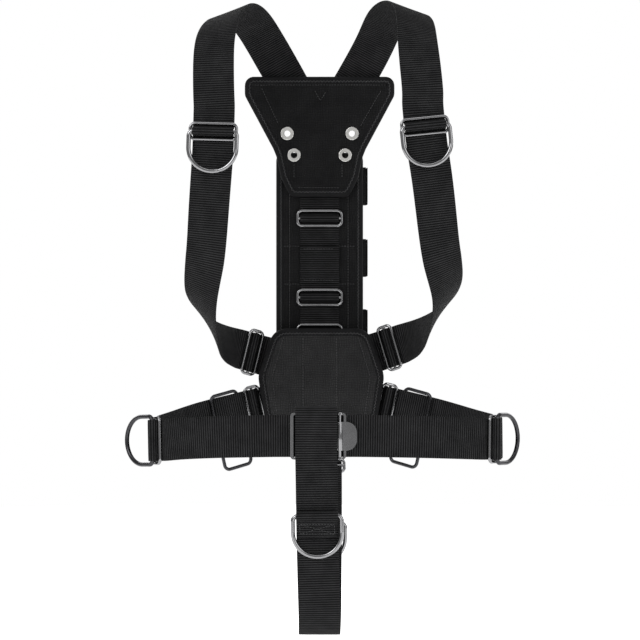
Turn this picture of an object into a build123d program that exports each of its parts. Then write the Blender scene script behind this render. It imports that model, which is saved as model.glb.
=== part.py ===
from build123d import *
from math import cos, pi, sin
import os

# Frame: origin midway between the upper grommets on the shoulder plate's front face,
# X across the wearer, Y to the rear, Z up. Millimetres.

# webbing and its hardware
WEB_W, WEB_T = 50.0, 2.0
WIRE, RING_WIRE = 4.0, 5.5      # tri-glide wire, D-ring wire
GAP = 0.7                       # between webbing and a wire that it passes
BEND = 3.0                      # radius in which webbing turns up beside a bar
REACH = 14.0                    # flat webbing each side of a bar
PLY = 0.4                       # between two layers of webbing
GLIDE_SIDE, GLIDE_SLOT = 1.8, 1.05   # tri-glide clear of the webbing's edges and of its turn
RING_SIDE, RING_LEG = 2.05, 20.0     # D-ring clear of the webbing's edges, length of its straight legs
GLIDE_W = WEB_W + WIRE + 2 * GLIDE_SIDE
GLIDE_H = 2 * (WIRE + GAP + WEB_T / 2 + BEND + GLIDE_SLOT)
RING_W = WEB_W + RING_WIRE + 2 * RING_SIDE

# pads
COVER_T, CORE_T = 1.0, 4.0
BIND_W, BIND_T = 9.0, 0.8
PAD_T = CORE_T + 2 * COVER_T
PLATE_TOP, PLATE_BOTTOM, PLATE_HALF = 74.0, -82.5, 97.5
SPINE_W, SPINE_TOP, SPINE_BOTTOM = 113.0, -25.0, -352.0
LUMBAR_Z, LUMBAR_GAP = -319.0, 11.6
LAY = 0.5                       # between webbing and a pad that it lies on

# layers behind the plate, from front to back
STRAP_Y = PAD_T + BIND_T + LAY + WEB_T / 2            # left shoulder strap
OVERLAP_Y = STRAP_Y + WEB_T + LAY                     # right shoulder strap, over it
SPINE_WEB_Y = PAD_T + BIND_T + PLY + WEB_T / 2        # webbing on the spine panel
SPINE_Y = SPINE_WEB_Y + WEB_T / 2 + 0.3               # front face of the spine panel
CROTCH_Y = SPINE_WEB_Y - WEB_T - PLY                  # crotch strap, over that webbing
ANCHOR_Y = SPINE_Y - BIND_T - WEB_T / 2 - 1.3         # strap and belt ends on the spine panel
LUMBAR_Y = ANCHOR_Y - WEB_T / 2 - BIND_T - LUMBAR_GAP - PAD_T

# grommets
GROMMET_R, GROMMET_HOLE_R, GROMMET_T = 8.6, 4.3, 1.2
UPPER_SPACING, LOWER_SPACING, LOWER_DROP = 85.0, 67.0, 28.3

# spine hardware and trim-weight pockets
GLIDE_Z = (-110.8, -214.7, -260.5)
POCKET_Z = (-68.0, -162.5, -255.0)
POCKET_H, POCKET_D, POCKET_WALL = 50.0, 18.0, 1.6
POCKET_X0, POCKET_OUT = -44.0, 4.5
POCKET_X1 = SPINE_W / 2 + POCKET_OUT
FLAP_T, FLAP_LAP = 1.8, 28.0

# belt rings, buckle and crotch strap
DROP_W, DROP_H, DROP_WIRE, DROP_GAP = 41.0, 98.0, 4.5, 1.4
BUCKLE = Vector(-5, -225, -386)
FRAME_X0, FRAME_X1, FRAME_T, FRAME_RIM, FRAME_SIDE = -31.0, 37.5, 2.5, 2.5, 1.0
FRAME_H = WEB_W + 2 * (FRAME_RIM + FRAME_SIDE)
FRAME_BAR, LOOP_BAR_X = 4.0, -15.0
PIN_X, PIN_Z, PIN_R, PIN_FIT = 29.5, 6.5, 2.0, 0.06
LEVER_H, LEVER_T, LEVER_TIP, BARREL_R, CAM = 35.0, 2.0, 21.0, 3.6, 1.0
LOOP_TOP = -359.0               # where the crotch strap's loop starts to turn over the belt
SPLAY = 12.0                    # the left waist ring stands out by this angle

LOW = WEB_T / 2 + GAP + WIRE / 2                      # tri-glide above the webbing's mid-plane
HIGH = LOW + WIRE / 2 + GAP + RING_WIRE / 2           # D-ring bar above it
TAB_LIFT = WEB_T * 1.5 + PLY + GAP + RING_WIRE / 2    # D-ring bar above a strap that has a tab


def save(name, shape):
    """One STEP file per node."""
    export_step(shape, "parts/" + name + ".step")
    NODES[name] = shape


def bump(top, r):
    """Mid-line over a bar as (along, out, slope along, slope out): flat, up, over and down."""
    x, rows = r + BEND, [(-REACH, 0, 1, 0)]
    for k in range(5):
        a = pi / 8 * k
        rows.append((-x + BEND * sin(a), BEND - BEND * cos(a), cos(a), sin(a)))
    for k in range(13):
        a = pi / 12 * k
        rows.append((-r * cos(a), top + r * sin(a), sin(a), cos(a)))
    down = [(-v, n, tv, -tn) for v, n, tv, tn in reversed(rows[:6])]
    return rows + down


def hairpin(top, r, back, length):
    """Mid-line over a bar and back underneath, ending 'length' behind it."""
    rows = bump(top, r)[:19]
    for k in range(5):
        a = pi / 8 * k
        rows.append((r - BEND + BEND * cos(a), back + BEND - BEND * sin(a), -sin(a), -cos(a)))
    return rows + [(-length / 2, back, -1, 0), (-length, back, -1, 0)]


def half_turn(r):
    """Mid-line of a half turn."""
    return [(r * sin(a), r - r * cos(a), cos(a), sin(a)) for a in (pi / 8 * k for k in range(9))]


def frame_at(rows, i):
    """Point, direction and outward normal of the webbing at row i."""
    p, before, after = [Vector(*rows[k][:3]) for k in (i, max(i - 1, 0), min(i + 1, len(rows) - 1))]
    t = (after - before).normalized()
    n = Vector(*rows[i][3:]).normalized()
    return p, t, (n - t * n.dot(t)).normalized()


def run(ends, step=9.0):
    """Section planes along rows; the first and last rows hold their own direction."""
    pts = [e[0] for e in ends]
    path = Edge.make_spline(pts, tangents=[ends[0][1], ends[-1][1]])
    at = [path.param_at_point(p) for p in pts]
    count = max(3, int(path.length / step))
    planes = []
    for i in range(count + 1):
        u = i / count
        j = max(k for k in range(len(at) - 1) if at[k] <= u + 1e-6)
        f = (u - at[j]) / (at[j + 1] - at[j])
        t = path.tangent_at(u)
        n = ends[j][2] * (1 - f) + ends[j + 1][2] * f
        n = (n - t * n.dot(t)).normalized()
        planes.append(Plane(path.position_at(u), x_dir=n.cross(t), z_dir=t))
    return planes


def bend_planes(p, t, n, rows, side=1):
    """Section planes of a bump or hairpin at p, on the outward or inward side of the webbing."""
    w = n.cross(t)
    return [Plane(p + t * v + n * (q * side), x_dir=w, z_dir=t * tv + n * (tn * side)) for v, q, tv, tn in rows]


def route(rows, bends):
    """Section planes of webbing. bends maps a row to (profile, side) where it crosses a bar there."""
    planes, stretch = [], []
    for i in range(len(rows)):
        p, t, n = frame_at(rows, i)
        if i not in bends:
            stretch.append((p, t, n))
            continue
        profile, side = bends[i]
        local = bend_planes(p, t, n, profile, side)
        planes += run(stretch + [(local[0].origin, t, n)])[1 if planes else 0:-1] + local
        stretch = [(local[-1].origin, t, n)]
    if len(stretch) > 1:
        planes += run(stretch)[1 if planes else 0:]
    return planes


def band(planes):
    """Webbing through section planes, with its faces outwards."""
    sections = [plane * Rectangle(WEB_W, WEB_T) for plane in planes]
    solid = loft(sections, ruled=True)
    return solid if solid.volume > 0 else loft(sections[::-1], ruled=True)


def seat(rows, i, side=1, down=1):
    """Plane on the webbing at row i: local Z out, local -Y along the webbing (or against it)."""
    p, t, n = frame_at(rows, i)
    return Plane(p, x_dir=(t * -down).cross(n * side), z_dir=n * side)


def wire_loop(edges, radius):
    """Round wire swept along a closed path."""
    path = Wire(edges)
    return sweep(Plane(path @ 0, z_dir=path % 0) * Circle(radius), path=path)


def round_frame(w, h, corner, radius):
    """Rounded rectangle of wire."""
    return wire_loop(RectangleRounded(w, h, corner).wire().edges(), radius)


def triglide():
    """Wire frame with a centre bar."""
    return Pos(0, 0, LOW) * (round_frame(GLIDE_W, GLIDE_H, 6, WIRE / 2)
                             + Rot(0, 90, 0) * Cylinder(WIRE / 2, GLIDE_W))


def d_ring():
    """Straight bar on local X with a half-round bow hanging to local -Y."""
    h, c = RING_W / 2, 6.0
    k = c * 0.2929
    return wire_loop([Edge.make_line((-h + c, 0), (h - c, 0)),
                      Edge.make_three_point_arc((h - c, 0), (h - k, -k), (h, -c)),
                      Edge.make_line((h, -c), (h, -RING_LEG)),
                      Edge.make_three_point_arc((h, -RING_LEG), (0, -RING_LEG - h), (-h, -RING_LEG)),
                      Edge.make_line((-h, -RING_LEG), (-h, -c)),
                      Edge.make_three_point_arc((-h, -c), (-h + k, -k), (-h + c, 0))], RING_WIRE / 2)


def hung(name, plane, lift, swing=0.0):
    """D-ring on its bar, turned by swing about the bar; the bar's centre and axis are kept."""
    bar = plane.origin + plane.z_dir * lift
    HINGES[name] = (bar, plane.x_dir)
    save(name, Plane(bar, x_dir=plane.x_dir, z_dir=plane.z_dir).location * Rot(swing, 0, 0) * d_ring())


def upright(plane):
    """Angle that turns a ring on this plane so that it hangs straight down."""
    down, along, out = Vector(0, 0, -1), plane.y_dir * -1, plane.z_dir
    return Vector(1, 0).get_signed_angle(Vector(down.dot(along), down.dot(out)), Vector(0, 0, 1)) * -1


def layer(face, y0, y1):
    """Solid between two Y values from an outline drawn in X and Z."""
    return extrude(Plane.XZ.offset(-y1) * face, amount=y1 - y0)


def pad(name, outline, front, holes=()):
    """Two covers, a stiffener and a U-shaped edge binding; the front face is at Y = front."""
    bores = [Pos(x, z) * Circle(GROMMET_HOLE_R + 0.4) for x, z in holes]
    cover, core = offset(outline, -1.2), offset(outline, -2.0)
    if bores:
        cover, core = cover - bores, core - bores
    y1, y2, y3 = front + COVER_T, front + COVER_T + CORE_T, front + PAD_T
    save(name + "_front_cover", layer(cover, front, y1))
    save(name + "_stiffener", layer(core, y1, y2))
    save(name + "_back_cover", layer(cover, y2, y3))
    shell = layer(outline, front - BIND_T, y3 + BIND_T) - layer(offset(outline, -1.2), front, y3)
    save(name + "_binding", shell - layer(offset(outline, -BIND_W), front - 2, y3 + 2))


NODES, HINGES, SLIDES = {}, {}, {}
os.makedirs("parts", exist_ok=True)
OVER = bump(LOW, WIRE / 2 + GAP + WEB_T / 2)
OVER_RING = bump(HIGH, RING_WIRE / 2 + GAP + WEB_T / 2)

# shoulder plate: a yoke with its waist at the lower grommets
half = [(0, PLATE_TOP), (PLATE_HALF, PLATE_TOP), (PLATE_HALF, 50), (60, -20), (56, -30), (50, -58),
        (38, PLATE_BOTTOM), (0, PLATE_BOTTOM)]
yoke = make_face(Polyline(*half, close=True))
yoke = fillet(yoke.vertices().filter_by(lambda v: v.X > 96), 11)
yoke = fillet(yoke.vertices().filter_by(lambda v: 30 < v.X < 61), 12)
eyes = [(sx * w / 2, z) for w, z in ((UPPER_SPACING, 0), (LOWER_SPACING, -LOWER_DROP)) for sx in (-1, 1)]
pad("plate", yoke + mirror(yoke, Plane.YZ), 0.0, eyes)

# grommets: flanged tubes through the plate, each closed by a washer behind
tube = Cylinder(GROMMET_HOLE_R + 0.4, PAD_T + 2 * GROMMET_T) - Cylinder(GROMMET_HOLE_R, PAD_T * 3)
flange = Cylinder(GROMMET_R, GROMMET_T) - Cylinder(GROMMET_HOLE_R, PAD_T)
flange = fillet(flange.edges().filter_by(GeomType.CIRCLE).group_by(Axis.Z)[-1], 0.5)
collar = Cylinder(GROMMET_R - 1, GROMMET_T) - Cylinder(GROMMET_HOLE_R + 0.4, PAD_T)
eye = tube + Pos(0, 0, (PAD_T + GROMMET_T) / 2) * flange
save("grommets", Compound([Pos(x, PAD_T / 2, z) * Rot(90, 0, 0) * eye for x, z in eyes]))
save("grommet_washers", Compound([Pos(x, PAD_T + GROMMET_T / 2, z) * Rot(90, 0, 0) * collar for x, z in eyes]))

# spine panel, the webbing down its middle with a doubled tail, and three tri-glides
middle, height = (SPINE_TOP + SPINE_BOTTOM) / 2, SPINE_TOP - SPINE_BOTTOM
pad("spine", Pos(0, middle) * RectangleRounded(SPINE_W, height, 10), SPINE_Y)
down_spine = [(0, SPINE_WEB_Y, z, 0, -1, 0) for z in (-38, -70, *GLIDE_Z, -300, -334)]
save("spine_webbing", band(route(down_spine, {i: (OVER, 1) for i in (2, 3, 4)})))
save("spine_webbing_tail", Pos(0, SPINE_WEB_Y - WEB_T - PLY, -171.5) * Box(WEB_W, WEB_T, 49))
for i, word in enumerate(("upper", "middle", "lower")):
    save("spine_triglide_" + word, seat(down_spine, i + 2).location * triglide())

# trim-weight pockets behind the spine panel, open at +X, each closed by a folded flap
pocket_y = SPINE_Y + PAD_T + BIND_T + 0.2
for word, z in zip(("upper", "middle", "lower"), POCKET_Z):
    length, mid = POCKET_X1 - POCKET_X0, (POCKET_X1 + POCKET_X0) / 2
    block = Box(length, POCKET_D, POCKET_H)
    hollow = Pos(POCKET_WALL, 0, 0) * Box(length, POCKET_D - 2 * POCKET_WALL, POCKET_H - 2 * POCKET_WALL)
    save("trim_pocket_" + word, Pos(mid, pocket_y + POCKET_D / 2, z) * (block - hollow))
    x, y = POCKET_X1 + 0.5, pocket_y + POCKET_D + 0.5
    cheek = Pos(x + FLAP_T / 2, (pocket_y + y + FLAP_T) / 2, z) * Box(FLAP_T, y + FLAP_T - pocket_y, POCKET_H - 1)
    lap = Pos(x + FLAP_T - FLAP_LAP / 2, y + FLAP_T / 2, z) * Box(FLAP_LAP, FLAP_T, POCKET_H - 1)
    fold = Pos(x + FLAP_T / 2, pocket_y, z) * Cylinder(FLAP_T / 2, POCKET_H - 1)
    HINGES["trim_pocket_flap_" + word] = (Vector(x + FLAP_T / 2, pocket_y, z), Vector(0, 0, 1))
    save("trim_pocket_flap_" + word, cheek + lap + fold)

# lumbar pad
side = [(61, 63), (82, 2), (72, -62)]
shape = [(2 + x, LUMBAR_Z + z) for x, z in side] + [(2 - x, LUMBAR_Z + z) for x, z in reversed(side)]
lumbar = make_face(Polyline(*shape, close=True))
for z, r in ((63, 22), (2, 30), (-62, 18)):
    lumbar = fillet(lumbar.vertices().filter_by(lambda v: abs(v.Y - LUMBAR_Z - z) < 1), r)
pad("lumbar", lumbar, LUMBAR_Y)

# shoulder straps: behind the plate, over the shoulder, down the chest, back behind the lumbar pad
left_rows = [(-15, STRAP_Y, 18, 0, 1, 0), (-46, STRAP_Y, 75, 0, 1, 0), (-71, -2, 118, -.1, .9, .5),
             (-90, -32, 144, -.25, .5, .8), (-107, -72, 151, -.38, .1, 1), (-121, -116, 139, -.38, -.5, .8),
             (-130, -150, 110, -.25, -.9, .4), (-132, -168, 72, -.1, -1, .05), (-131, -176, 29, -.05, -1, 0),
             (-131.5, -178, -11, -.05, -1, 0), (-133.5, -178, -52, -.1, -1, 0), (-138, -176, -114, -.2, -1, 0),
             (-143, -166, -170, -.3, -1, 0), (-149, -142, -217, -.55, -.85, -.05),
             (-143, -104, -247, -.8, -.5, -.25), (-132, -62, -267, -.8, .35, -.35),
             (-114, -20, -279, -.5, .85, -.2), (-90, 2, -286.5, -.2, 1, -.05), (-66, ANCHOR_Y, -293, -.03, 1, 0),
             (-39, ANCHOR_Y, -299, 0, 1, 0)]
right_rows = [(16, OVERLAP_Y, 19, 0, 1, 0), (49, OVERLAP_Y, 75, 0, 1, 0), (74, -2, 121, .1, .9, .5),
              (86, -32, 144, .25, .5, .8), (103, -72, 154, .38, .1, 1), (118, -116, 144, .38, -.5, .8),
              (122, -150, 112, .25, -.9, .4), (125, -168, 74, .1, -1, .05), (128, -176, 34, .05, -1, 0),
              (130.5, -178, -4, .05, -1, 0), (137, -178, -52, .1, -1, 0), (145, -176, -114, .2, -1, 0),
              (153, -166, -170, .3, -1, 0), (160, -142, -204, .55, -.85, -.05), (154, -104, -234, .8, -.5, -.25),
              (139, -62, -257, .8, .35, -.35), (119, -20, -271, .5, .85, -.2), (93, 2, -280.5, .2, 1, -.05),
              (67, ANCHOR_Y, -289, .03, 1, 0), (41, ANCHOR_Y, -297, 0, 1, 0)]
CHEST, LOWER = 9, 17
for word, rows in (("left", left_rows), ("right", right_rows)):
    save(word + "_shoulder_strap", band(route(rows, {CHEST: (OVER_RING, 1), LOWER: (OVER, -1)})))
    save(word + "_chest_triglide", seat(rows, CHEST).location * triglide())
    save(word + "_lumbar_triglide_upper", seat(rows, LOWER, -1).location * triglide())
    chest = seat(rows, CHEST)
    hung(word + "_chest_d_ring", chest, HIGH)

# waist belt: behind the lumbar pad, straight through the drop ring, round the hip, to the buckle
loop_r = WIRE / 2 + GAP + WEB_T / 2
loop = hairpin(LOW, loop_r, -WEB_T - PLY, 34.0)
loop_row = (BUCKLE.X + LOOP_BAR_X, BUCKLE.Y, BUCKLE.Z, 0, -1, 0)
belts = {"left": [(-41, ANCHOR_Y, -348, 0, 1, 0), (-65, ANCHOR_Y, -354.8, -.05, 1, 0), (-85, 4, -360, -.36, .93, 0),
                  (-120, -8.7, -368.5, -.36, .93, 0), (-147, -19, -375, -.36, .93, 0), (-188, -60, -387, -.75, .66, 0),
                  (-212, -118, -394, -1, .05, 0), (-210, -143, -394.5, -.95, -.25, 0), (-200, -167, -394, -.88, -.47, 0),
                  (-182, -189, -392, -.5, -.87, 0), (-148, -207, -389, -.3, -1, 0), (-100, -220, -387, -.1, -1, 0),
                  (-52, BUCKLE.Y, BUCKLE.Z, 0, -1, 0), loop_row],
         "right": [(43, ANCHOR_Y, -345, 0, 1, 0), (67, ANCHOR_Y, -351.8, .05, 1, 0), (88, 4, -357, .36, .93, 0),
                   (123, -8.7, -365.5, .36, .93, 0), (150, -19, -372, .36, .93, 0), (199, -60, -385, .75, .66, 0),
                   (229, -118, -392, 1, .05, 0), (227, -145, -392.5, .95, -.25, 0), (213, -171, -392, .88, -.47, 0),
                   (195, -191, -391, .5, -.87, 0), (160, -209, -389, .3, -1, 0), (105, -221, -387, .1, -1, 0),
                   (52, BUCKLE.Y, BUCKLE.Z, 0, -1, 0), (-1, BUCKLE.Y, BUCKLE.Z, 0, -1, 0)]}
BACK, DROP, HIP, LOOP = 2, 3, 8, 13
twist = (WEB_T / 2 + DROP_GAP + DROP_WIRE / 2) / (DROP_W / 2) * 180 / pi
for word, rows in belts.items():
    bends = {BACK: (OVER, -1), HIP: (OVER_RING, 1)}
    if word == "left":
        bends[LOOP] = (loop, 1)
    save(word + "_belt", band(route(rows, bends)))
    save(word + "_lumbar_triglide_lower", seat(rows, BACK, -1).location * triglide())
    save(word + "_waist_triglide", seat(rows, HIP).location * triglide())
    hung(word + "_waist_d_ring", seat(rows, HIP, down=-1), HIGH, -SPLAY if word == "left" else 0)
    place = seat(rows, DROP)
    up = place.x_dir if place.x_dir.Z > 0 else place.x_dir * -1
    hang = WEB_W / 2 + DROP_GAP + DROP_WIRE / 2 - DROP_H / 2
    ring = Rot(0, 0, 90) * round_frame(DROP_W, DROP_H, 7, DROP_WIRE / 2)
    ring = Plane(place.origin + up * hang, x_dir=place.x_dir, z_dir=place.z_dir).location * (Rot(twist, 0, 0) * ring)
    SLIDES[word + "_drop_ring"] = (place.origin, place.y_dir * -1)
    save(word + "_drop_ring", ring)

# waist buckle: pressed frame with a loop bar and two ears, pin, and cam lever
buckle = Plane(BUCKLE, x_dir=(1, 0, 0), z_dir=(0, -1, 0))
window_l, window_r = FRAME_X0 + FRAME_BAR, PIN_X + 5
plate = Pos((FRAME_X0 + FRAME_X1) / 2, 0) * RectangleRounded(FRAME_X1 - FRAME_X0, FRAME_H, 5)
plate -= Pos((window_l + window_r) / 2, 0) * RectangleRounded(window_r - window_l, FRAME_H - 2 * FRAME_RIM, 2)
body = Pos(0, 0, LOW - FRAME_T / 2) * extrude(plate, amount=FRAME_T)
body += Pos(LOOP_BAR_X, 0, LOW) * Rot(90, 0, 0) * Cylinder(WIRE / 2, FRAME_H - FRAME_RIM)
for sy in (-1, 1):
    ear = Pos(PIN_X, sy * (FRAME_H - FRAME_RIM) / 2, PIN_Z - 1) * Box(8, FRAME_RIM, 8)
    body += fillet(ear.edges().filter_by(Axis.Y).group_by(Axis.Z)[-1], 3)
body -= Pos(PIN_X, 0, PIN_Z) * Rot(90, 0, 0) * Cylinder(PIN_R + PIN_FIT, FRAME_H * 2)
save("buckle_frame", buckle.location * body)
pin = Pos(PIN_X, 0, PIN_Z) * Rot(90, 0, 0) * Cylinder(PIN_R, FRAME_H + 1)
save("buckle_pin", buckle.location * pin)
barrel = Rot(90, 0, 0) * (Cylinder(BARREL_R, LEVER_H) + Pos(0, -CAM) * Cylinder(BARREL_R, LEVER_H))
tongue = Pos(LEVER_TIP / 2, 0) * Rectangle(LEVER_TIP, LEVER_H)
tongue = fillet(tongue.vertices().group_by(Axis.X)[-1], 13)
lever = barrel + Pos(0, 0, -LEVER_T / 2) * extrude(tongue, amount=LEVER_T)
lever -= Rot(90, 0, 0) * Cylinder(PIN_R + PIN_FIT, LEVER_H * 2)
save("buckle_lever", buckle.location * Pos(PIN_X, 0, PIN_Z) * lever)
HINGES["buckle_lever"] = (BUCKLE + Vector(PIN_X, -PIN_Z, 0), Vector(0, 0, 1))

# crotch strap: sewn loop over the belt and buckle, down, under, up behind the lumbar pad
front_y, rear_y = BUCKLE.Y - PIN_Z - BARREL_R - GAP - WEB_T / 2, BUCKLE.Y + 2 * WEB_T + PLY + 2 * GAP
rise = [(-3, front_y + 3.4, -462, 0, 1, 0), (-3.5, rear_y - 5, -440, 0, 1, .2), (-4, rear_y, -418, 0, 1, 0),
        (-4, rear_y, LOOP_TOP, 0, 1, 0)]
top = bend_planes(Vector(*rise[-1][:3]), Vector(0, 0, 1), Vector(0, 1, 0), half_turn((rear_y - front_y) / 2), -1)
crotch = [(-4, front_y, LOOP_TOP, 0, -1, 0), (-4, front_y, -410, 0, -1, 0), (-3.5, front_y, -440, 0, -1, 0),
          (-3, -233, -482, 0, -1, 0), (-2.4, -231, -516, 0, -1, 0), (-1, -227, -574, 0, -1, -.1),
          (0, -213, -617, 0, -.8, -.6), (0, -190, -632, 0, -.1, -1), (1, -165, -618, 0, .8, -.6),
          (2, -128, -567, 0, 1, -.7), (3, -84, -500, 0, 1, -.66), (3, -65, -472, 0, 1, -.66),
          (3, -37, -431, 0, 1, -.68), (2.5, -14, -402, 0, 1, -.5), (2, 1, -385, 0, 1, -.4),
          (1, CROTCH_Y - 0.2, -367, 0, 1, 0), (1, CROTCH_Y, -353, 0, 1, 0)]
FRONT_TAB, REAR_TAB, REAR_GLIDE = 3, 10, 12
save("crotch_strap", band(route(rise, {}) + top[1:-1] + route(crotch, {REAR_GLIDE: (OVER, 1)})))
save("crotch_triglide", seat(crotch, REAR_GLIDE).location * triglide())

# sewn tabs, each folded over the bar of a ring
r = RING_WIRE / 2 + GAP + WEB_T / 2
fold = [(-26, WEB_T + PLY, 1, 0), (-13, WEB_T + PLY, 1, 0), (0, WEB_T + PLY, 1, 0)]
fold += [(r * sin(pi / 8 * k), TAB_LIFT - r * cos(pi / 8 * k), cos(pi / 8 * k), sin(pi / 8 * k)) for k in range(1, 9)]
fold += [(-3, TAB_LIFT + r * .93, -.9, -.44), (-9, 6.8, -.84, -.54), (-15, 2 * (WEB_T + PLY), -1, 0),
         (-26, 2 * (WEB_T + PLY), -1, 0)]
for word, i, down in (("front", FRONT_TAB, 1), ("rear", REAR_TAB, -1)):
    p, t, n = frame_at(crotch, i)
    planes = bend_planes(p, t * -down, n, fold)
    save("crotch_tab_" + word, band(planes))
    place = seat(crotch, i, down=down)
    hung("crotch_d_ring_" + word, place, TAB_LIFT, upright(place))
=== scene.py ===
import bmesh
import bpy
import numpy as np
from math import pi, radians
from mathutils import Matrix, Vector
from mathutils.bvhtree import BVHTree


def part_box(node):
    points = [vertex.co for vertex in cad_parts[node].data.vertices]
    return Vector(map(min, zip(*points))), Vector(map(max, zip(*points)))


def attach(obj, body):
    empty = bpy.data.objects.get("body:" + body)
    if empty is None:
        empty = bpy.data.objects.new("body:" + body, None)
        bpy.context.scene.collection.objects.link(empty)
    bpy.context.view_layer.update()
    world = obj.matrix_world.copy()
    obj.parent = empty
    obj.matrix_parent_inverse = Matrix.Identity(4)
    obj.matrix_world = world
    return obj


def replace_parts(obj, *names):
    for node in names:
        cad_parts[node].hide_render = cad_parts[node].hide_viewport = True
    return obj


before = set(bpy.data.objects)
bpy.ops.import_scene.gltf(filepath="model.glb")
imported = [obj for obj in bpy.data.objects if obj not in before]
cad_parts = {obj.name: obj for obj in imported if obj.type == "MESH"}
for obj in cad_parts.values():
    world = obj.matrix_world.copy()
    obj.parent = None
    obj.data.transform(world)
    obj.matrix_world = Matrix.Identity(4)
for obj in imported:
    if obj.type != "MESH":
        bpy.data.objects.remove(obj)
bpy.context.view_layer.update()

# Camera: level with the middle of the harness, on the wearer's centre line, far enough back
# that the straps hardly converge.
CAMERA_PLACE, LENS_MM, SENSOR_MM = (0.0005, -3.33, -0.2443), 143.0, 36.0
camera = bpy.data.objects.new("camera", bpy.data.cameras.new("camera"))
bpy.context.scene.collection.objects.link(camera)
camera.location = CAMERA_PLACE
camera.rotation_euler = (radians(90), 0, 0)
camera.data.lens, camera.data.sensor_width = LENS_MM, SENSOR_MM
bpy.context.scene.camera = camera

# Webbing: 50 mm black nylon, woven with a raised cross rib every few millimetres and a rounded
# selvedge. Each length follows its solid in the frame, section by section from one cut end.
WEB_HALF, WEB_EDGE = 0.0248, 0.00105             # half the width, half the thickness
FACE_CROWN, FACE_POINTS = 0.12, 13
SELVEDGE_OUT, SELVEDGE_HALF = 0.8, 0.0005
# The rib colour range is painted shade between the ribs and a painted highlight on their tops.
RIB_PITCH, RIB_DEPTH, RIB_PAINTED_SHADE = 0.0029, 0.0007, (0.2, 2.3)
YARN_PITCH, YARN_SHARE = 0.0012, 0.35
NYLON_DARK, NYLON_LIGHT = (0.0092, 0.0092, 0.0096), (0.0155, 0.0155, 0.016)
NYLON_ROUGH, NYLON_PATCHES = (0.6, 0.75), 55.0
SECTION_STEP = 0.0022
# Reading the solids: the area of a cut end and how near it has to come, angles in radians
# between faces that are level and faces that meet in a sharp edge, and distances in metres.
END_AREA, END_MATCH = 0.0001, 0.005
LEVEL, SHARP = 0.01, 1.0
SAME_POINT, CROWDED = 1e-6, 0.0003
AHEAD_WEIGHT, BACK_SLACK = 0.2, 1e-4


def shader(name, color, rough, metal=0.0, sheen=0.0, gloss=0.5):
    """A principled finish whose constant values sit on the shader's own sockets."""
    mat = bpy.data.materials.new(name)
    mat.use_nodes = True
    tree = mat.node_tree
    bsdf = tree.nodes["Principled BSDF"]
    bsdf.inputs["Base Color"].default_value = (*color, 1)
    bsdf.inputs["Roughness"].default_value = rough
    bsdf.inputs["Metallic"].default_value = metal
    bsdf.inputs["Sheen Weight"].default_value = sheen
    bsdf.inputs["Sheen Roughness"].default_value = 0.4
    bsdf.inputs["Specular IOR Level"].default_value = gloss
    return mat, tree, bsdf


def node(tree, kind, **values):
    """A shader node with its settings and unlinked inputs filled in."""
    n = tree.nodes.new(kind)
    for key, value in values.items():
        if hasattr(n, key):
            setattr(n, key, value)
        else:
            n.inputs[key.replace("_", " ")].default_value = value
    return n


def math_node(tree, operation, a, b=0.0):
    """One arithmetic step; a and b are sockets or numbers."""
    n = tree.nodes.new("ShaderNodeMath")
    n.operation = operation
    for socket, value in zip(n.inputs, (a, b)):
        if isinstance(value, (int, float)):
            socket.default_value = value
        else:
            tree.links.new(value, socket)
    return n.outputs[0]


def ribs(tree, coordinate, pitch):
    """A smooth ridge pattern from 0 to 1 along one coordinate in metres."""
    wave = math_node(tree, "SINE", math_node(tree, "MULTIPLY", coordinate, 2 * pi / pitch))
    return math_node(tree, "ADD", math_node(tree, "MULTIPLY", wave, 0.5), 0.5)


def place_on(tree):
    """The place on the piece, in metres."""
    return tree.nodes.new("ShaderNodeTexCoord").outputs["Object"]


def speckle(tree, place, scale, detail, rough=0.5):
    """Random variation from 0 to 1 over the piece; scale is grains to the metre."""
    noise = node(tree, "ShaderNodeTexNoise", Scale=scale, Detail=detail, Roughness=rough)
    tree.links.new(place, noise.inputs["Vector"])
    return noise.outputs["Fac"]


def ranged(tree, value, low, high):
    """A 0 to 1 value spread from low to high."""
    spread = node(tree, "ShaderNodeMapRange", To_Min=low, To_Max=high)
    tree.links.new(value, spread.inputs["Value"])
    return spread.outputs["Result"]


def mottled(tree, bsdf, place, dark, light, scale, rough):
    """Uneven dye and wear: colour and roughness drift over the surface."""
    drift = speckle(tree, place, scale, 6.0, 0.6)
    ramp = tree.nodes.new("ShaderNodeValToRGB")
    for stop, position, color in zip(ramp.color_ramp.elements, (0.3, 0.7), (dark, light)):
        stop.position, stop.color = position, (*color, 1)
    tree.links.new(drift, ramp.inputs["Fac"])
    tree.links.new(ramp.outputs["Color"], bsdf.inputs["Base Color"])
    tree.links.new(ranged(tree, drift, *rough), bsdf.inputs["Roughness"])
    return ramp.outputs["Color"]


def paint_yarn_shade(tree, bsdf, color, raised, shade):
    """Painted shade down between the yarns and a painted highlight on top of them, multiplied into
    the colour.
    """
    mix = node(tree, "ShaderNodeMixRGB", blend_type="MULTIPLY", Fac=1.0)
    tree.links.new(color, mix.inputs["Color1"])
    tree.links.new(ranged(tree, raised, *shade), mix.inputs["Color2"])
    tree.links.new(mix.outputs["Color"], bsdf.inputs["Base Color"])


def strip_map(tree, layer):
    """Distances along and across a strip, from its own map in metres."""
    uv = node(tree, "ShaderNodeUVMap", uv_map=layer)
    split = tree.nodes.new("ShaderNodeSeparateXYZ")
    tree.links.new(uv.outputs["UV"], split.inputs[0])
    return split.outputs["X"], split.outputs["Y"]


def raise_bump(tree, bsdf, height, distance, strength=1.0):
    """Surface relief from a 0 to 1 height, rising by a distance in metres."""
    bump = node(tree, "ShaderNodeBump", Strength=strength, Distance=distance)
    tree.links.new(height, bump.inputs["Height"])
    tree.links.new(bump.outputs["Normal"], bsdf.inputs["Normal"])


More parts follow.
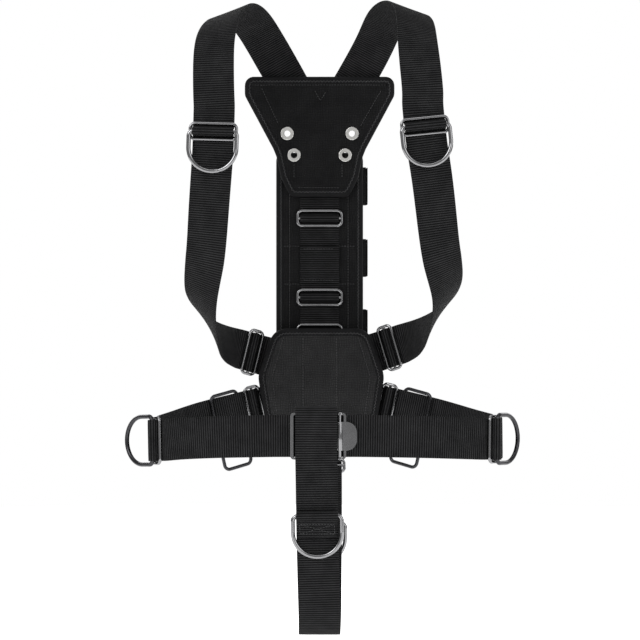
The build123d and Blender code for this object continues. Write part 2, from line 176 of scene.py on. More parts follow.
def webbing_material():
    """Cross ribs with finer yarns in them, from the length and width along the webbing."""
    mat, tree, bsdf = shader("ribbed_nylon", (0.02, 0.02, 0.021), 0.6, sheen=0.01, gloss=0.04)
    along, across = strip_map(tree, "webbing")
    rib, yarn = ribs(tree, along, RIB_PITCH), ribs(tree, across, YARN_PITCH)
    color = mottled(tree, bsdf, place_on(tree), NYLON_DARK, NYLON_LIGHT, NYLON_PATCHES, NYLON_ROUGH)
    # Painted shade between the ribs and a painted highlight on them.
    paint_yarn_shade(tree, bsdf, color, rib, RIB_PAINTED_SHADE)
    height = math_node(tree, "ADD", rib, math_node(tree, "MULTIPLY", yarn, YARN_SHARE))
    raise_bump(tree, bsdf, height, RIB_DEPTH)
    return mat


ribbed_nylon = webbing_material()


def bare(name, mesh):
    """An object with a mesh, linked into the scene and nothing more."""
    obj = bpy.data.objects.new(name, mesh)
    bpy.context.scene.collection.objects.link(obj)
    return obj


def add_piece(name, mesh, material, body="harness"):
    """A finished mesh as a piece that rides on a body."""
    obj = bare(name, mesh)
    mesh.materials.clear()
    mesh.materials.append(material)
    mesh.polygons.foreach_set("use_smooth", [True] * len(mesh.polygons))
    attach(obj, body)
    return obj


def welded(name):
    """The node's mesh with its doubled points joined."""
    bm = bmesh.new()
    bm.from_mesh(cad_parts[name].data)
    bmesh.ops.remove_doubles(bm, verts=bm.verts, dist=SAME_POINT)
    return bm


def cut_ends(bm):
    """The corners of each cut end, and the rims: a flat strip with a sharp edge all round."""
    corners, rims = [], set()
    for edge in bm.edges:
        if len(edge.link_faces) == 2 and edge.calc_face_angle(pi) < LEVEL:
            faces = edge.link_faces
            rim = [e for f in faces for e in f.edges if e != edge]
            off = abs(sum(f.calc_area() for f in faces) - END_AREA)
            if off < END_MATCH * END_AREA and all(e.calc_face_angle(0) > SHARP for e in rim):
                corners.append(list({v for f in faces for v in f.verts}))
                rims.update(rim)
    return corners, rims


def edge_line(corner, rims):
    """The points along one sharp edge of a band, from a cut end to the other."""
    line, used = [corner.co.copy()], set(rims)
    while True:
        ahead = [e for e in corner.link_edges if e not in used and e.calc_face_angle(0) > SHARP]
        if not ahead:
            return line
        corner = ahead[0].other_vert(corner)
        used.update(ahead)
        line.append(corner.co.copy())


def follow(line, points):
    """For each point, the place opposite it on another edge line, found in order along it."""
    starts, steps = line[:-1], np.diff(line, axis=0)
    lengths = np.linalg.norm(steps, axis=1)
    place = np.concatenate([[0], np.cumsum(lengths)])
    found, s, last = [line[0]], 0.0, points[0]
    for p in points[1:-1]:
        expect = s + np.linalg.norm(p - last)
        t = np.clip(((p - starts) * steps).sum(axis=1) / lengths**2, 0, 1)
        near = starts + steps * t[:, None]
        at = place[:-1] + t * lengths
        cost = ((near - p) ** 2).sum(axis=1) + AHEAD_WEIGHT * (at - expect) ** 2
        cost = cost + (at < s - BACK_SLACK)
        best = int(cost.argmin())
        found.append(near[best])
        s, last = at[best], p
    return np.array(found + [line[-1]])


def webbing_sections(name):
    """Centres, width directions and face directions of a band, from its first cut end."""
    bm = welded(name)
    ends, rims = cut_ends(bm)
    first = min(ends[0], key=lambda v: tuple(v.co))
    corners = sorted(ends[0], key=lambda v: (v.co - first.co).length)
    lines = [np.array(edge_line(v, rims)) for v in corners]
    bm.free()
    a = lines[0]
    a = a[np.concatenate([[True], np.linalg.norm(np.diff(a, axis=0), axis=1) > CROWDED])]
    b, c, d = [follow(line, a) for line in lines[1:]]
    return np.hstack([(a + b + c + d) / 4, c + d - a - b, b + d - a - c])


def smooth_sections(rows):
    """Finer sections on a rounded curve through the given ones."""
    ends = np.vstack([2 * rows[0] - rows[1], rows, 2 * rows[-1] - rows[-2]])
    out = []
    for i in range(1, len(ends) - 2):
        p0, p1, p2, p3 = ends[i - 1:i + 3]
        gaps = [max(np.linalg.norm((b - a)[:3]) ** 0.5, 1e-5)
                for a, b in ((p0, p1), (p1, p2), (p2, p3))]
        count = max(1, int(round(gaps[1] ** 2 / SECTION_STEP)))
        m1 = (p2 - p1) / gaps[1] - (p2 - p0) / (gaps[0] + gaps[1]) + (p1 - p0) / gaps[0]
        m2 = (p3 - p2) / gaps[2] - (p3 - p1) / (gaps[1] + gaps[2]) + (p2 - p1) / gaps[1]
        m1, m2 = m1 * gaps[1], m2 * gaps[1]
        for k in range(count):
            t = k / count
            out.append((2 * t**3 - 3 * t**2 + 1) * p1 + (t**3 - 2 * t**2 + t) * m1
                       + (3 * t**2 - 2 * t**3) * p2 + (t**3 - t**2) * m2)
    return np.array(out + [rows[-1]])


def selvedge_profile():
    """Half-round edges and a very slightly crowned face, as (across, out) pairs."""
    across = np.linspace(-WEB_HALF, WEB_HALF, FACE_POINTS)
    front = [(x, WEB_EDGE * (1 - FACE_CROWN * (x / WEB_HALF) ** 8)) for x in across]
    tip = WEB_HALF + WEB_EDGE * SELVEDGE_OUT
    back = [(x, -y) for x, y in reversed(front)]
    return (front + [(tip, SELVEDGE_HALF), (tip, -SELVEDGE_HALF)]
            + back + [(-tip, -SELVEDGE_HALF), (-tip, SELVEDGE_HALF)])


def tube_faces(rows, n, base=0):
    """The faces of a tube over rows of n points, with a cap at each end."""
    last = base + (rows - 1) * n
    quads = [(i + j, i + (j + 1) % n, i + n + (j + 1) % n, i + n + j)
             for i in range(base, last, n) for j in range(n)]
    return quads + [tuple(range(base, base + n))[::-1], tuple(range(last, last + n))]


def turn_outward(mesh):
    """Points every face of a closed mesh outward."""
    bm = bmesh.new()
    bm.from_mesh(mesh)
    bmesh.ops.recalc_face_normals(bm, faces=bm.faces)
    bm.to_mesh(mesh)
    bm.free()


def closed_mesh(name, verts, faces):
    """A mesh from points and faces, with its faces turned outward."""
    mesh = bpy.data.meshes.new(name)
    mesh.from_pydata(verts, [], faces)
    turn_outward(mesh)
    return mesh


def weave_band(name):
    """One length of webbing over its solid, with the weave's own length and width map."""
    rows = smooth_sections(webbing_sections(name))
    centers, widths, faces = rows[:, :3], rows[:, 3:6], rows[:, 6:]
    widths /= np.linalg.norm(widths, axis=1)[:, None]
    faces /= np.linalg.norm(faces, axis=1)[:, None]
    profile = np.array(selvedge_profile())
    n = len(profile)
    verts = (centers[:, None] + widths[:, None] * profile[None, :, :1]
             + faces[:, None] * profile[None, :, 1:]).reshape(-1, 3)
    mesh = closed_mesh(name, verts.tolist(), tube_faces(len(rows), n))
    along = np.concatenate([[0], np.cumsum(np.linalg.norm(np.diff(centers, axis=0), axis=1))])
    layer = mesh.uv_layers.new(name="webbing")
    for loop in mesh.loops:
        row, point = divmod(loop.vertex_index, n)
        layer.data[loop.index].uv = (along[row], profile[point][0])
    return add_piece(name + "_woven", mesh, ribbed_nylon)


for band in ("left_shoulder_strap", "right_shoulder_strap", "left_belt", "right_belt",
             "crotch_strap", "spine_webbing", "spine_webbing_tail",
             "crotch_tab_front", "crotch_tab_rear"):
    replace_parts(weave_band(band), band)

# Shoulder plate, spine panel and lumbar pad: a foam and plastic core sewn between two layers of
# heavy plain-weave nylon. The padding swells a little inside its covers and is drawn in at seams.
VOXEL, SHRINK, GIVE = 0.0022, 0.0005, 0.0013
FOAM_PRESSURE, CLOTH_MASS, CLOTH_QUALITY, CLOTH_STEPS = 4.0, 0.2, 4, 20
# The weave colour range is painted shade between the yarns and a painted highlight where they
# cross.
WEAVE_PITCH, WEAVE_DEPTH, WEAVE_PAINTED_SHADE = 0.0021, 0.0004, (0.45, 1.7)
YARN_WANDER, WANDER_GRAIN, SLUB_GRAIN, SLUB_SHARE = 0.0045, 130.0, 900.0, 0.5
CLOTH_ROUGH, CLOTH_PATCHES = (0.62, 0.82), 38.0
PAD_DARK, PAD_LIGHT = (0.0085, 0.0085, 0.009), (0.0155, 0.0155, 0.016)
WORN_DARK, WORN_LIGHT = (0.022, 0.022, 0.0225), (0.035, 0.035, 0.0355)
SEAM_DEPTH, SEAM_WIDTH, FACES_FRONT = 0.0009, 0.0015, -0.3
# The sewn seams of each panel, across and up from the origin in millimetres.
PANELS = {
    "plate": [[(-89, 63.5), (89, 63.5)], [(-6.3, 56), (1, 43), (9, 56)],
              [(-75.8, 59), (-53.2, 10.7)], [(80.3, 56.2), (53.3, 9.3)],
              [(-33.5, -40), (-33.5, -61)], [(29.3, -40), (29.3, -61)], [(-28, -71), (28, -71)]],
    "spine": [[(-39.3, -36), (-39.3, -341)], [(37.3, -36), (37.3, -341)],
              [(-47, -147.4), (47, -147.4)], [(-47, -197.1), (47, -197.1)]],
    "lumbar": [[(-21.7, -257.8), (18.9, -257.8)], [(-21.6, -268), (-21.6, -374)],
               [(22, -268), (22, -374)], [(-46, -263), (-62, -318), (-55, -374)],
               [(49, -263), (66, -318), (58, -374)]],
}


def plain_weave(name, dark, light):
    """Over and under yarns of a flat fabric that faces front or back, with slight fading."""
    mat, tree, bsdf = shader(name, light, 0.7, sheen=0.01, gloss=0.05)
    place = place_on(tree)
    split = tree.nodes.new("ShaderNodeSeparateXYZ")
    tree.links.new(place, split.inputs[0])
    wander = math_node(tree, "MULTIPLY", speckle(tree, place, WANDER_GRAIN, 3.0), YARN_WANDER)
    warp = ribs(tree, math_node(tree, "ADD", split.outputs["X"], wander), WEAVE_PITCH)
    weft = ribs(tree, math_node(tree, "SUBTRACT", split.outputs["Z"], wander), WEAVE_PITCH)
    crossing = math_node(tree, "MULTIPLY", warp, weft)
    color = mottled(tree, bsdf, place, dark, light, CLOTH_PATCHES, CLOTH_ROUGH)
    # Painted shade between the yarns and a painted highlight on their crossings.
    paint_yarn_shade(tree, bsdf, color, crossing, WEAVE_PAINTED_SHADE)
    slub = math_node(tree, "MULTIPLY", speckle(tree, place, SLUB_GRAIN, 3.0), SLUB_SHARE)
    raise_bump(tree, bsdf, math_node(tree, "ADD", crossing, slub), WEAVE_DEPTH, 0.7)
    return mat


pad_cloth = plain_weave("plain_weave_nylon", PAD_DARK, PAD_LIGHT)
worn_pad_cloth = plain_weave("worn_plain_weave", WORN_DARK, WORN_LIGHT)


def evaluated(obj):
    """The object's mesh with its modifiers applied."""
    graph = bpy.context.evaluated_depsgraph_get()
    return bpy.data.meshes.new_from_object(obj.evaluated_get(graph))


def take(obj):
    """The evaluated mesh of a working object, which is then removed."""
    mesh = evaluated(obj)
    bpy.data.objects.remove(obj)
    return mesh


def coordinates(mesh):
    """The mesh's points as an array."""
    co = np.empty(len(mesh.vertices) * 3)
    mesh.vertices.foreach_get("co", co)
    return co.reshape(-1, 3)


def normals(mesh):
    """The mesh's point normals as an array."""
    out = np.empty(len(mesh.vertices) * 3)
    mesh.vertices.foreach_get("normal", out)
    return out.reshape(-1, 3)


def move_points(mesh, co):
    """Puts an array of points into the mesh."""
    mesh.vertices.foreach_set("co", co.ravel())
    mesh.update()


def stuffed(names):
    """One closed cover round the named solids, swelled by a short cloth simulation."""
    bm = bmesh.new()
    for name in names:
        bm.from_mesh(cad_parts[name].data)
    mesh = bpy.data.meshes.new("core")
    bm.to_mesh(mesh)
    bm.free()
    core = bare("core", mesh)
    remesh = core.modifiers.new("remesh", "REMESH")
    remesh.mode, remesh.voxel_size = "VOXEL", VOXEL
    mesh = take(core)
    start = coordinates(mesh) - normals(mesh) * SHRINK
    move_points(mesh, start)
    puff = bare("puff", mesh)
    cloth = puff.modifiers.new("cloth", "CLOTH").settings
    cloth.quality, cloth.mass = CLOTH_QUALITY, CLOTH_MASS
    cloth.use_pressure, cloth.uniform_pressure_force = True, FOAM_PRESSURE
    cloth.effector_weights.gravity = 0.0
    for step in range(1, CLOTH_STEPS + 1):
        bpy.context.scene.frame_set(step)
    swelled = coordinates(evaluated(puff))
    bpy.context.scene.frame_set(1)
    bpy.data.objects.remove(puff)
    shift = swelled - start
    size = np.linalg.norm(shift, axis=1)[:, None]
    move_points(mesh, start + shift * np.minimum(1, GIVE / np.maximum(size, 1e-9)))
    finer = bare("finer", mesh)
    finer.modifiers.new("smooth", "SUBSURF").levels = 1
    return take(finer)


def to_line(points, a, b):
    """Distance of each point to a straight seam, in X and Z."""
    a, b = np.array(a) / 1000, np.array(b) / 1000
    flat = points[:, [0, 2]]
    t = np.clip(((flat - a) @ (b - a)) / ((b - a) @ (b - a)), 0, 1)
    return np.linalg.norm(flat - a - t[:, None] * (b - a), axis=1)


def draw_in(mesh, seams):
    """Presses the seams into the front face."""
    co, out = coordinates(mesh), normals(mesh)
    for seam in seams:
        for a, b in zip(seam, seam[1:]):
            pull = SEAM_DEPTH * np.exp(-(to_line(co, a, b) / SEAM_WIDTH) ** 2)
            co[:, 1] += np.where(out[:, 1] < FACES_FRONT, pull, 0)
    move_points(mesh, co)


covers = {}
for panel, seams in PANELS.items():
    parts = [panel + "_front_cover", panel + "_stiffener", panel + "_back_cover"]
    cover = stuffed(parts)
    draw_in(cover, seams)
    fabric = worn_pad_cloth if panel == "lumbar" else pad_cloth
    covers[panel] = add_piece(panel + "_cover", cover, fabric)
    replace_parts(covers[panel], *parts)

# Edge binding: 20 mm woven tape folded in a U round the edge of each panel and sewn through.
# It is swept round the outline of the front cover, with a soft fold at the very edge.
TAPE_IN, TAPE_OUT, TAPE_STEP, TAPE_SEAM = -0.0078, 0.0012, 0.0025, 0.0032
TAPE_RIB, TAPE_DEPTH, TAPE_ROUGH, TAPE_PATCHES = 0.0015, 0.0003, (0.6, 0.75), 70.0
TAPE_DARK, TAPE_LIGHT = (0.0035, 0.0035, 0.004), (0.0075, 0.0075, 0.008)
# Half of the U from its front lip to the fold: out from the cover's edge, and past its face.
TAPE_LIP = [(TAPE_IN, -0.0012), (TAPE_IN, -0.0002), (TAPE_IN + 0.0006, 0.0002),
            (TAPE_IN / 2, 0.0003), (0, 0.0001), (TAPE_OUT - 0.0001, -0.0009)]
FOLD_SHOULDER, FOLD_SHOULDER_UP, FOLD_TOP = TAPE_OUT + 0.0005, 0.45, TAPE_OUT + 0.0006
FRONT_NEAR, FRONT_FACE = 1e-5, -0.9


def tape_material():
    """Fine cross ribs along the folded tape, with a little shine on the fold."""
    mat, tree, bsdf = shader("binding_tape", (0.016, 0.016, 0.017), 0.55, sheen=0.01, gloss=0.12)
    along, _ = strip_map(tree, "tape")
    mottled(tree, bsdf, place_on(tree), TAPE_DARK, TAPE_LIGHT, TAPE_PATCHES, TAPE_ROUGH)
    raise_bump(tree, bsdf, ribs(tree, along, TAPE_RIB), TAPE_DEPTH, 0.6)
    return mat


tape = tape_material()


def outline(name):
    """The outer edge of a cover's front face, as evenly spaced X and Z pairs in order."""
    bm = welded(name)
    front = min(v.co.y for v in bm.verts)
    edges = [e for e in bm.edges if all(abs(v.co.y - front) < FRONT_NEAR for v in e.verts)
             and sum(f.normal.y < FRONT_FACE for f in e.link_faces) == 1]
    loops = []
    while edges:
        edge = edges.pop()
        chain = [edge.verts[0], edge.verts[1]]
        while chain[-1] != chain[0]:
            step = next(e for e in edges if chain[-1] in e.verts)
            edges.remove(step)
            chain.append(step.other_vert(chain[-1]))
        loops.append(np.array([(v.co.x, v.co.z) for v in chain]))
    bm.free()
    loop = max(loops, key=lambda p: np.linalg.norm(np.diff(p, axis=0), axis=1).sum())
    place = np.concatenate([[0], np.cumsum(np.linalg.norm(np.diff(loop, axis=0), axis=1))])
    s = np.linspace(0, place[-1], int(place[-1] / TAPE_STEP), endpoint=False)
    even = np.stack([np.interp(s, place, loop[:, 0]), np.interp(s, place, loop[:, 1])], axis=1)
    area = (even[:, 0] * np.roll(even[:, 1], -1) - np.roll(even[:, 0], -1) * even[:, 1]).sum()
    return even if area > 0 else even[::-1]


def outward(line):
    """Unit normals out of a closed outline."""
    along = np.roll(line, -1, axis=0) - np.roll(line, 1, axis=0)
    along = along + np.roll(along, 1, axis=0) + np.roll(along, -1, axis=0)
    across = np.stack([along[:, 1], -along[:, 0]], axis=1)
    return across / np.linalg.norm(across, axis=1)[:, None]


def bind(panel):
    """The tape round one panel, as a closed ring with a U-shaped section."""
    line = outline(panel + "_front_cover")
    out = outward(line)
    low, high = (v.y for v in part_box(panel + "_binding"))
    mid, half = (low + high) / 2, (high - low) / 2
    section = [(u, half + v) for u, v in TAPE_LIP]
    section += [(FOLD_SHOULDER, half * FOLD_SHOULDER_UP), (FOLD_TOP, 0)]
    section += [(u, -v) for u, v in reversed(section[:-1])]
    n, count = len(section), len(line)
    verts, width = [], [0.0]
    for (u0, v0), (u1, v1) in zip(section, section[1:]):
        width.append(width[-1] + ((u1 - u0) ** 2 + (v1 - v0) ** 2) ** 0.5)
    for p, q in zip(line, out):
        verts += [(p[0] + q[0] * u, mid - v, p[1] + q[1] * u) for u, v in section]
    quads = [(i * n + j, i * n + (j + 1) % n, (i + 1) % count * n + (j + 1) % n,
              (i + 1) % count * n + j) for i in range(count) for j in range(n)]
    mesh = bpy.data.meshes.new(panel + "_tape")
    mesh.from_pydata(verts, [], quads)
    layer = mesh.uv_layers.new(name="tape")
    for k, (i, j) in enumerate((i, j) for i in range(count) for j in range(n)):
        for loop, (a, b) in zip(mesh.polygons[k].loop_indices, ((0, 0), (0, 1), (1, 1), (1, 0))):
            layer.data[loop].uv = ((i + a) * TAPE_STEP, width[(j + b) % n])
    turn_outward(mesh)
    piece = add_piece(panel + "_tape", mesh, tape)
    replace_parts(piece, panel + "_binding")
    return piece, line + out * (TAPE_IN + TAPE_SEAM)


bindings = {panel: bind(panel) for panel in PANELS}

# Stitching: bonded nylon thread, lockstitched through the panels and zigzagged along the tape.
# Each stitch is a short raised length whose ends go down into the cloth.
STITCH, STITCH_PITCH, THREAD_R, ZIGZAG = 0.0027, 0.0036, 0.00042, 0.0011
THREAD_DARK, THREAD_LIGHT = (0.022, 0.022, 0.023), (0.05, 0.05, 0.052)
THREAD_ROUGH, THREAD_PATCHES, TWIST_GRAIN, TWIST_DEPTH = (0.36, 0.5), 160.0, 2200.0, 0.0001
THREAD_SIDES, STEP_IN_CLOTH = 6, 0.0015
# One stitch: how far along it, and its rise and thickness there in thread radii.
STITCH_RINGS = ((0, -0.6, 0.5), (0.15, 0.35, 0.9), (0.5, 0.6, 1),
                (0.85, 0.35, 0.9), (1, -0.6, 0.5))


def thread_material():
    """Slightly lighter, waxed thread with its twist showing as a fine bump."""
    mat, tree, bsdf = shader("bonded_thread", THREAD_LIGHT, 0.42, sheen=0.05, gloss=0.35)
    place = place_on(tree)
    mottled(tree, bsdf, place, THREAD_DARK, THREAD_LIGHT, THREAD_PATCHES, THREAD_ROUGH)
    raise_bump(tree, bsdf, speckle(tree, place, TWIST_GRAIN, 2.0), TWIST_DEPTH, 0.5)
    return mat


thread = thread_material()


def tree_of(pieces):
    """One search tree over several pieces."""
    verts, polys = [], []
    for piece in pieces:
        base = len(verts)
        verts += [v.co.copy() for v in piece.data.vertices]
        polys += [[base + i for i in p.vertices] for p in piece.data.polygons]
    return BVHTree.FromPolygons(verts, polys)


def stitch_ends(line, zigzag):
    """Start and end of each stitch along a line of X and Z pairs in metres."""
    line = np.array(line)
    place = np.concatenate([[0], np.cumsum(np.linalg.norm(np.diff(line, axis=0), axis=1))])
    pitch = ZIGZAG * 2 if zigzag else STITCH_PITCH
    for k in range(int(place[-1] / pitch)):
        s = (k * pitch, k * pitch + (pitch if zigzag else STITCH))
        ends = [np.array([np.interp(v, place, line[:, c]) for c in (0, 1)]) for v in s]
        along = ends[1] - ends[0]
        along /= max(np.linalg.norm(along), 1e-9)
        across = np.array([-along[1], along[0]]) * (ZIGZAG if zigzag else 0) * (-1) ** k
        yield ends[0] - across, ends[1] + across


def sew(name, pieces, lines, side=-1, zigzag=False):
    """Stitches along the lines on the front (-1) or rear (1) of the pieces."""
    surface, verts, faces = tree_of(pieces), [], []
    for line in lines:
        for start, end in stitch_ends(line, zigzag):
            hits = [surface.ray_cast(Vector((x, side, z)), Vector((0, -side, 0)))
                    for x, z in (start, (start + end) / 2, end)]
            first, last = hits[0][0], hits[2][0]
            if any(h[0] is None for h in hits) or abs(first.y - last.y) > STEP_IN_CLOTH:
                continue
            out = hits[1][1] if hits[1][1].y * side > 0 else -hits[1][1]
            across = (last - first).normalized().cross(out)
            faces += tube_faces(len(STITCH_RINGS), THREAD_SIDES, len(verts))
            for t, rise, r in STITCH_RINGS:
                middle = first.lerp(last, t) + out * (THREAD_R * rise)
                for j in range(THREAD_SIDES):
                    a = 2 * pi * j / THREAD_SIDES
                    verts.append(middle + (across * np.cos(a) + out * np.sin(a)) * (THREAD_R * r))
    mesh = closed_mesh(name, [tuple(v) for v in verts], faces)
    add_piece(name, mesh, thread)


def metres(lines):
    """Lines in millimetres as lines in metres."""
    return [[(x / 1000, z / 1000) for x, z in line] for line in lines]


for panel, (ring, seam) in bindings.items():
    closed = np.vstack([seam, seam[:1]])
    sew(panel + "_seam_thread", [covers[panel]], metres(PANELS[panel]))
    sew(panel + "_tape_thread_front", [ring], [closed], zigzag=True)
    sew(panel + "_tape_thread_rear", [ring], [closed], side=1, zigzag=True)

# Stitching that holds the short webbing lengths: a box crossed by two diagonals on the front
# crotch tab, and a straight row at each end of the doubled length on the spine.
BOX_INSET, BOX_TOP = 0.004, 0.016


def box_lines(x0, x1, z0, z1):
    """A sewn box with a cross in it."""
    a, b, c, d = (x0, z0), (x1, z0), (x1, z1), (x0, z1)
    return [[a, b, c, d, a], [a, c], [b, d]]


low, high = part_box("crotch_tab_front")
sew("front_tab_thread", [bpy.data.objects["crotch_tab_front_woven"]],
    box_lines(low.x + BOX_INSET, high.x - BOX_INSET, low.z + BOX_INSET, high.z - BOX_TOP))
low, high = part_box("spine_webbing_tail")
sew("tail_thread", [bpy.data.objects["spine_webbing_tail_woven"]],
    [[(low.x + BOX_INSET, z), (high.x - BOX_INSET, z)]
     for z in (low.z + BOX_INSET, high.z - BOX_INSET)])

# Stainless steel hardware: tri-glides and rings of round bar, welded and tumbled bright, and the
# pressed buckle frame with its cam lever on a riveted pin. The waist and drop rings get a darker
# copy of the steel: painted shade for the dark surroundings they reflect.
STEEL = [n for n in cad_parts
         if "glide" in n or n.endswith("ring") or "d_ring" in n or n.startswith("buckle")]
BUCKLE = ("buckle_frame", "buckle_lever", "buckle_pin")
EDGE_ROUND, EDGE_STEPS, EDGE_ANGLE, JOINED = 0.0005, 2, radians(35), 1e-5
BRIGHT, BRIGHT_ROUGH = (0.24, 0.24, 0.245), (0.07, 0.18)
# The darker steel is painted shade for the dark reflections on the waist and drop rings.
SHADE_PAINTED_STEEL, SHADE_PAINTED_STEEL_ROUGH, STEEL_PATCHES = (0.045, 0.045, 0.048), (0.20, 0.34), 60.0
MARKS_FINER, MARKS_DEPTH, RUBBED = 14, 0.00003, 1.12


def metal(name, color, rough, patches):
    """Bright metal with faint rubbed marks in its roughness and surface."""
    mat, tree, bsdf = shader(name, color, rough[0], metal=1.0)
    place = place_on(tree)
    light = tuple(min(1.0, c * RUBBED) for c in color)
    mottled(tree, bsdf, place, color, light, patches, rough)
    raise_bump(tree, bsdf, speckle(tree, place, patches * MARKS_FINER, 4.0), MARKS_DEPTH, 0.5)
    return mat


def coat(name, material):
    """The metal over the whole of one solid in the frame."""
    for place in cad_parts[name].material_slots:
        place.material = material


stainless = metal("stainless_steel", BRIGHT, BRIGHT_ROUGH, STEEL_PATCHES)
shade_painted_steel = metal("shade_painted_steel_finish", SHADE_PAINTED_STEEL, SHADE_PAINTED_STEEL_ROUGH, STEEL_PATCHES)
# Painted shade: the waist and drop rings get the darker copy of the steel.
for name in STEEL:
    coat(name, shade_painted_steel if "drop_ring" in name or "waist_d_ring" in name else stainless)
for name in BUCKLE:
    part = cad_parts[name]
    part.modifiers.new("weld", "WELD").merge_threshold = JOINED
    edge = part.modifiers.new("edge", "BEVEL")
    edge.width, edge.segments = EDGE_ROUND, EDGE_STEPS
    edge.limit_method, edge.angle_limit = "ANGLE", EDGE_ANGLE

# Grommets: four nickel-plated brass eyelets set through the shoulder plate, each pressed over
# a plain washer of the same metal behind it.
NICKEL, NICKEL_ROUGH, NICKEL_PATCHES = (0.88, 0.87, 0.84), (0.10, 0.22), 90.0
nickel = metal("nickel_plate", NICKEL, NICKEL_ROUGH, NICKEL_PATCHES)
for name in ("grommets", "grommet_washers"):
    coat(name, nickel)

# Trim-weight pockets: folded nylon bags sewn to the back of the spine panel, mouth to one side,
# each closed by a flap that folds round the mouth and lies on the back of the pocket.
POCKET_WALL, POCKET_SAG, POCKET_ROWS, POCKET_POINTS = 0.0015, 0.0016, 26, 56
END_TAPER, END_LENGTH = 0.10, 0.12                # at the closed end, as shares of size and length
SQUARE_Y, SQUARE_Z = 0.32, 0.24                   # the smaller, the squarer the bag's section
RIPPLE, RIPPLES_ALONG, RIPPLES_ROUND = 0.0004, 9, 3
FLAP_HALF, FLAP_EDGE = 0.0235, 0.0009             # half the width, half the thickness
FLAP_ROUND, ROUND_START, ROUND_STEPS = 0.005, 0.3, 5
FLAP_REST, FLAP_TIP, FLAP_SPRING = 0.012, 0.004, 0.0002


def pocket_rings(low, high, inset):
    """Rounded sections of the bag from its closed end to its mouth."""
    cy, cz = (low.y + high.y) / 2, (low.z + high.z) / 2
    hy, hz = (high.y - low.y) / 2 - inset, (high.z - low.z) / 2 - inset
    x0 = low.x + inset
    for i in range(POCKET_ROWS):
        f = i / (POCKET_ROWS - 1)
        bulge = POCKET_SAG * np.sin(pi * f)
        taper = 1 - END_TAPER * max(0, 1 - f / END_LENGTH) ** 2
        ring = []
        for k in range(POCKET_POINTS):
            a = 2 * pi * k / POCKET_POINTS
            c, s = np.cos(a), np.sin(a)
            y = np.sign(c) * abs(c) ** SQUARE_Y * hy
            z = np.sign(s) * abs(s) ** SQUARE_Z * hz
            ripple = RIPPLE * np.sin(RIPPLES_ALONG * f + RIPPLES_ROUND * a) if inset == 0 else 0
            fuller = (bulge * (1 - abs(z / hz) ** 2) + ripple) * (c > 0)
            ring.append((x0 + (high.x - x0) * f, cy + y * taper + fuller, cz + z * taper))
        yield ring


def pocket_bag(name):
    """A thin-walled bag with an open mouth."""
    low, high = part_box(name)
    rings = list(pocket_rings(low, high, 0)) + list(pocket_rings(low, high, POCKET_WALL))[::-1]
    verts = [p for ring in rings for p in ring]
    mesh = closed_mesh(name + "_bag", verts, tube_faces(len(rings), POCKET_POINTS))
    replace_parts(add_piece(name + "_bag", mesh, pad_cloth), name)


def pocket_flap(name):
    """The folded flap: up the mouth, round the corner and along the back of the pocket."""
    low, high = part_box(name)
    x, y, z, r = high.x - FLAP_EDGE, high.y - FLAP_EDGE, (low.z + high.z) / 2, FLAP_ROUND
    path = [(x, low.y + FLAP_EDGE), (x, (low.y + y) / 2), (x, y - r)]
    path += [(x - r + r * np.cos(a), y - r + r * np.sin(a))
             for a in np.linspace(ROUND_START, pi / 2, ROUND_STEPS)]
    path += [(x - FLAP_REST, y + FLAP_SPRING), (low.x + FLAP_TIP, y), (low.x, y - FLAP_SPRING)]
    rows = []
    for i, p in enumerate(path):
        before, after = path[max(i - 1, 0)], path[min(i + 1, len(path) - 1)]
        along = Vector((after[0] - before[0], after[1] - before[1], 0)).normalized()
        rows.append((*p, z, 0, 0, 1, *along.cross(Vector((0, 0, 1)))))
    rows = smooth_sections(np.array(rows))
    profile = [(u * FLAP_HALF / WEB_HALF, v * FLAP_EDGE / WEB_EDGE)
               for u, v in selvedge_profile()]
    verts = [tuple(row[:3] + row[3:6] * u + row[6:] * v) for row in rows for u, v in profile]
    mesh = closed_mesh(name + "_cloth", verts, tube_faces(len(rows), len(profile)))
    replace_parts(add_piece(name + "_cloth", mesh, pad_cloth, body=name), name)


for word in ("upper", "middle", "lower"):
    pocket_bag("trim_pocket_" + word)
    pocket_flap("trim_pocket_flap_" + word)

# Studio: a round white floor just below the crotch strap, in white surroundings, with large soft
# lights in front, at both sides, behind and overhead.
FLOOR_Z, FLOOR_RADIUS, FLOOR_SIDES, FLOOR_GLOW = -0.66, 2.4, 96, 0.7
PAPER_DARK, PAPER_LIGHT, PAPER_ROUGH = (0.90, 0.90, 0.90), (0.93, 0.93, 0.93), (0.85, 0.95)
PAPER_PATCHES, WHITE, SURROUND = 3.0, (1, 1, 1, 1), 0.45
LIT_POINT = Vector((0, -0.1, -0.22))
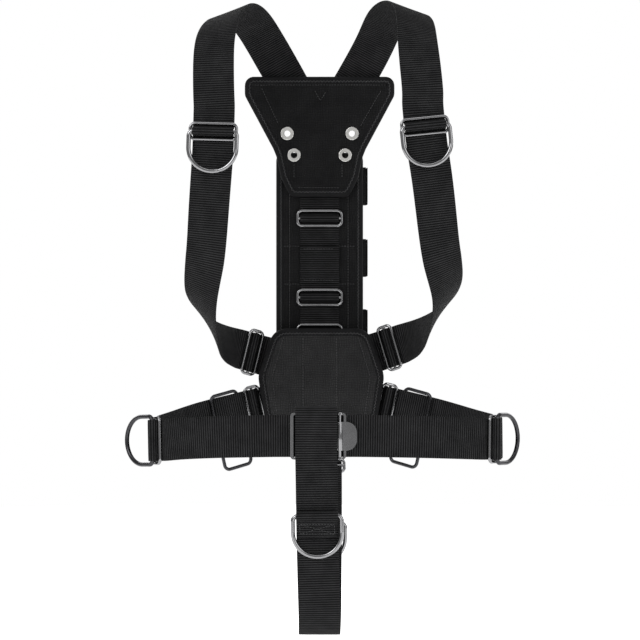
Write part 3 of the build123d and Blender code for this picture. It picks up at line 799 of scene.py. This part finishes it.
# Where each lamp stands, its width in metres and its power in watts.
LAMPS = {
    "key": ((-1.5, -2.2, 1.3), 1.6, 36),
    "fill": ((1.9, -2.0, 0.6), 1.8, 20),
    "top": ((0, -0.2, 2.3), 1.8, 16),
    "back_left": ((-1.6, 2.0, 1.2), 1.6, 34),
    "back_right": ((1.8, 1.9, 0.7), 1.6, 24),
}
bm = bmesh.new()
bmesh.ops.create_circle(bm, cap_ends=True, segments=FLOOR_SIDES, radius=FLOOR_RADIUS)
bmesh.ops.translate(bm, verts=bm.verts, vec=(0, 0, FLOOR_Z))
floor_mesh = bpy.data.meshes.new("floor")
bm.to_mesh(floor_mesh)
bm.free()
paper, paper_tree, paper_bsdf = shader("white_paper", (0.92, 0.92, 0.92), 0.9)
paper_bsdf.inputs["Emission Color"].default_value = WHITE
paper_bsdf.inputs["Emission Strength"].default_value = FLOOR_GLOW
mottled(paper_tree, paper_bsdf, place_on(paper_tree), PAPER_DARK, PAPER_LIGHT,
        PAPER_PATCHES, PAPER_ROUGH)
floor_mesh.materials.append(paper)
bare("floor", floor_mesh)
for name, (place, size, power) in LAMPS.items():
    lamp = bpy.data.objects.new(name, bpy.data.lights.new(name, "AREA"))
    lamp.data.energy, lamp.data.size = power, size
    lamp.location = place
    lamp.rotation_euler = (LIT_POINT - Vector(place)).to_track_quat("-Z", "Y").to_euler()
    bpy.context.scene.collection.objects.link(lamp)
world = bpy.data.worlds.new("white")
world.use_nodes = True
sky = world.node_tree
glow, seen = sky.nodes["Background"], sky.nodes.new("ShaderNodeBackground")
for background, strength in ((glow, SURROUND), (seen, 1.0)):
    background.inputs["Color"].default_value = WHITE
    background.inputs["Strength"].default_value = strength
switch, rays = sky.nodes.new("ShaderNodeMixShader"), sky.nodes.new("ShaderNodeLightPath")
sky.links.new(rays.outputs["Is Camera Ray"], switch.inputs["Fac"])
sky.links.new(glow.outputs[0], switch.inputs[1])
sky.links.new(seen.outputs[0], switch.inputs[2])
sky.links.new(switch.outputs[0], sky.nodes["World Output"].inputs["Surface"])
bpy.context.scene.world = world
bpy.context.scene.view_settings.view_transform = "Standard"
